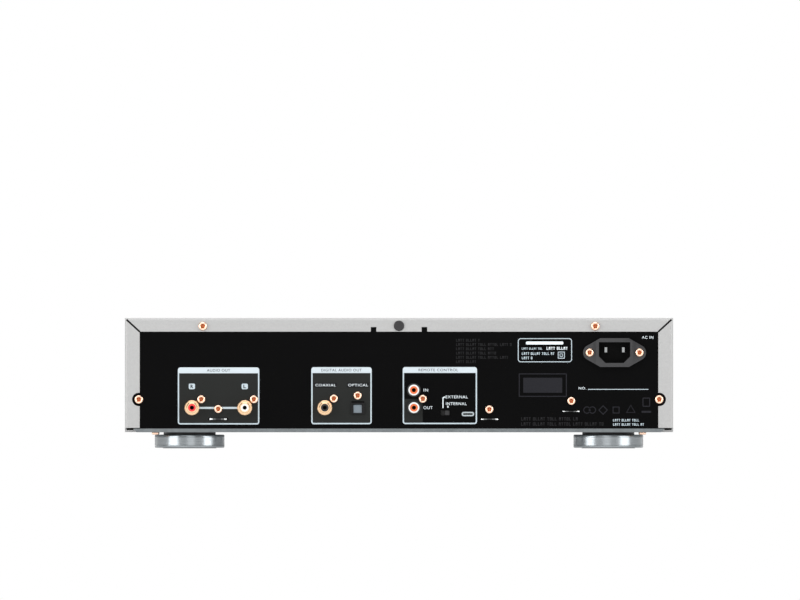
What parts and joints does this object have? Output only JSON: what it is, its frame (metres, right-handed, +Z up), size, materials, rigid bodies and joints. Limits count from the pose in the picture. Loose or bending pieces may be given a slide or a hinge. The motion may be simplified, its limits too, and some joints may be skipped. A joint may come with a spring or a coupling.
{
  "type": "compact disc player",
  "caption": "Full-width hi-fi compact disc player: painted steel case, black rear panel with audio sockets and mains inlet, disc tray, keys, turned feet.",
  "frame": {"origin": "on the surface the feet stand on, under the middle of the bounding box", "axes": "+Z up, front panel faces -Y, sockets face +Y, +X to the right when seen from the front"},
  "size_m": [0.44, 0.341, 0.1046],
  "materials": {
    "cover_paint": "silver-grey fine textured paint",
    "panel_black": "satin black paint",
    "zinc_sheet": "zinc-plated sheet",
    "front_silver": "satin anodised",
    "foot_metal": "turned satin metal",
    "black_plastic": "fine moulded",
    "inlet_plastic": "dark grey moulded",
    "foot_rubber": "soft pad",
    "copper_screw": "copper-plated screw",
    "gold_plate": "polished gold plate",
    "red_plastic": "moulded red",
    "white_plastic": "moulded white",
    "orange_plastic": "moulded orange",
    "nickel": "bright nickel plate",
    "smoked_window": "smoked clear",
    "display_glass": "display glass",
    "grey_plastic": "grey moulded",
    "tray_plastic": "dark tray",
    "gear_plastic": "natural acetal",
    "steel": "bright steel",
    "belt_rubber": "drive belt",
    "board_green": "solder mask",
    "component_black": "component bodies",
    "core_steel": "varnished laminations",
    "coil_tape": "taped winding",
    "lens_clear": "coated lens"
  },
  "bodies": {
    "chassis": {"board_parts": "component_black", "bottom_chassis": "zinc_sheet", "bottom_plate": "zinc_sheet", "bottom_screws": "copper_screw", "circuit_boards": "board_green", "clamper_bridge": "steel", "coax_insert": "black_plastic", "cover_screws": "copper_screw", "display_module": "display_glass", "display_window": "smoked_window", "foot_bodies": "black_plastic", "foot_pads": "foot_rubber", "foot_rings": "foot_metal", "front_panel": "front_silver", "gold_jack_shells": "gold_plate", "headphone_jack": "gold_plate", "hole_plug": "grey_plastic", "inlet_pins": "nickel", "inlet_screws": "copper_screw", "loader_frame": "black_plastic", "loading_belt": "belt_rubber", "loading_motor": "steel", "mains_inlet": "inlet_plastic", "optical_jack": "black_plastic", "output_insert_red": "red_plastic", "output_insert_white": "white_plastic", "rear_panel": "panel_black", "rear_screws": "copper_screw", "remote_jack_inserts": "orange_plastic", "remote_jack_shells": "nickel", "slide_switch": "black_plastic", "top_cover": "cover_paint", "transformer_coil": "coil_tape", "transformer_core": "core_steel"},
    "tray": {"disc_tray": "tray_plastic", "tray_door": "front_silver"},
    "drive_gear": {"drive_gear": "gear_plastic"},
    "belt_pulley": {"belt_pulley": "gear_plastic"},
    "motor_pulley": {"motor_pulley": "gear_plastic"},
    "traverse": {"traverse_frame": "black_plastic", "spindle_motor": "steel", "guide_rods": "steel", "sled_motor": "steel"},
    "cam_slider": {"cam_slider": "gear_plastic"},
    "turntable": {"turntable": "black_plastic"},
    "clamper": {"clamper": "black_plastic"},
    "sled": {"pickup_sled": "black_plastic"},
    "sled_gear": {"sled_gear": "gear_plastic"},
    "sled_motor_pinion": {"sled_motor_pinion": "gear_plastic"},
    "lens": {"objective_lens": "lens_clear"},
    "power_button": {"power_button": "front_silver"},
    "open_close_button": {"open_close_button": "front_silver"},
    "play_button": {"play_button": "front_silver"},
    "stop_button": {"stop_button": "front_silver"},
    "skip_back_button": {"skip_back_button": "front_silver"},
    "skip_forward_button": {"skip_forward_button": "front_silver"},
    "level_knob": {"level_knob": "front_silver"},
    "switch_knob": {"slide_switch_knob": "grey_plastic"},
    "optical_shutter": {"optical_shutter": "grey_plastic"}
  },
  "joints": [
    {"name": "tray_slide", "type": "slide", "parent": "chassis", "child": "tray", "axis": [0, -1, 0], "range_m": [0, 0.138]},
    {"name": "drive_gear_turn", "type": "hinge", "parent": "chassis", "child": "drive_gear", "pos_m": [-0.033, -0.139, 0.07], "axis": [0, 0, 1], "range_deg": [0, 495]},
    {"name": "belt_pulley_turn", "type": "hinge", "parent": "chassis", "child": "belt_pulley", "pos_m": [-0.01267, -0.13058, 0.07], "axis": [0, 0, 1], "range_deg": [-1320, 0]},
    {"name": "motor_pulley_turn", "type": "hinge", "parent": "chassis", "child": "motor_pulley", "pos_m": [0.024, -0.134, 0.068], "axis": [0, 0, 1], "range_deg": [-4620, 0]},
    {"name": "traverse_tilt", "type": "hinge", "parent": "chassis", "child": "traverse", "pos_m": [0, 0.016, 0.058], "axis": [1, 0, 0], "range_deg": [0, 4]},
    {"name": "cam_slide", "type": "slide", "parent": "chassis", "child": "cam_slider", "axis": [1, 0, 0], "range_m": [0, 0.0201]},
    {"name": "turntable_spin", "type": "hinge", "parent": "traverse", "child": "turntable", "pos_m": [0, -0.084, 0.078], "axis": [0, 0, 1], "continuous": true},
    {"name": "clamper_spin", "type": "hinge", "parent": "chassis", "child": "clamper", "pos_m": [0, -0.084, 0.084], "axis": [0, 0, 1], "continuous": true},
    {"name": "sled_slide", "type": "slide", "parent": "traverse", "child": "sled", "axis": [0, 1, 0], "range_m": [0, 0.035]},
    {"name": "sled_gear_turn", "type": "hinge", "parent": "traverse", "child": "sled_gear", "pos_m": [0.034, -0.033, 0.065], "axis": [0, 0, 1], "range_deg": [-335, 0]},
    {"name": "sled_motor_turn", "type": "hinge", "parent": "traverse", "child": "sled_motor_pinion", "pos_m": [0.0465, -0.033, 0.062], "axis": [0, 0, 1], "range_deg": [0, 1340]},
    {"name": "lens_focus", "type": "slide", "parent": "sled", "child": "lens", "axis": [0, 0, 1], "range_m": [-0.0005, 0.0005], "stiffness_N_per_m": 20},
    {"name": "power_press", "type": "slide", "parent": "chassis", "child": "power_button", "axis": [0, 1, 0], "range_m": [0, 0.001], "stiffness_N_per_m": 300},
    {"name": "open_close_press", "type": "slide", "parent": "chassis", "child": "open_close_button", "axis": [0, 1, 0], "range_m": [0, 0.001], "stiffness_N_per_m": 300},
    {"name": "play_press", "type": "slide", "parent": "chassis", "child": "play_button", "axis": [0, 1, 0], "range_m": [0, 0.001], "stiffness_N_per_m": 300},
    {"name": "stop_press", "type": "slide", "parent": "chassis", "child": "stop_button", "axis": [0, 1, 0], "range_m": [0, 0.001], "stiffness_N_per_m": 300},
    {"name": "skip_back_press", "type": "slide", "parent": "chassis", "child": "skip_back_button", "axis": [0, 1, 0], "range_m": [0, 0.001], "stiffness_N_per_m": 300},
    {"name": "skip_forward_press", "type": "slide", "parent": "chassis", "child": "skip_forward_button", "axis": [0, 1, 0], "range_m": [0, 0.001], "stiffness_N_per_m": 300},
    {"name": "level_knob_turn", "type": "hinge", "parent": "chassis", "child": "level_knob", "pos_m": [0.194, -0.165, 0.032], "axis": [0, -1, 0], "range_deg": [-150, 150]},
    {"name": "switch_slide", "type": "slide", "parent": "chassis", "child": "switch_knob", "axis": [1, 0, 0], "range_m": [0, 0.0033]},
    {"name": "shutter_swing", "type": "hinge", "parent": "chassis", "child": "optical_shutter", "pos_m": [0.0332, 0.1613, 0.0346], "axis": [-1, 0, 0], "range_deg": [0, 80], "stiffness_Nm_per_rad": 0.0005}
  ],
  "couplings": [
    {"joint": "drive_gear_turn", "follows": "tray_slide", "rad_per_m": 62.5},
    {"joint": "belt_pulley_turn", "follows": "tray_slide", "rad_per_m": -166.67},
    {"joint": "motor_pulley_turn", "follows": "tray_slide", "rad_per_m": -583.33},
    {"joint": "cam_slide", "follows": "traverse_tilt", "m_per_rad": 0.28648},
    {"joint": "clamper_spin", "follows": "turntable_spin", "ratio": 1},
    {"joint": "sled_gear_turn", "follows": "sled_slide", "rad_per_m": -166.67},
    {"joint": "sled_motor_turn", "follows": "sled_slide", "rad_per_m": 666.67}
  ]
}
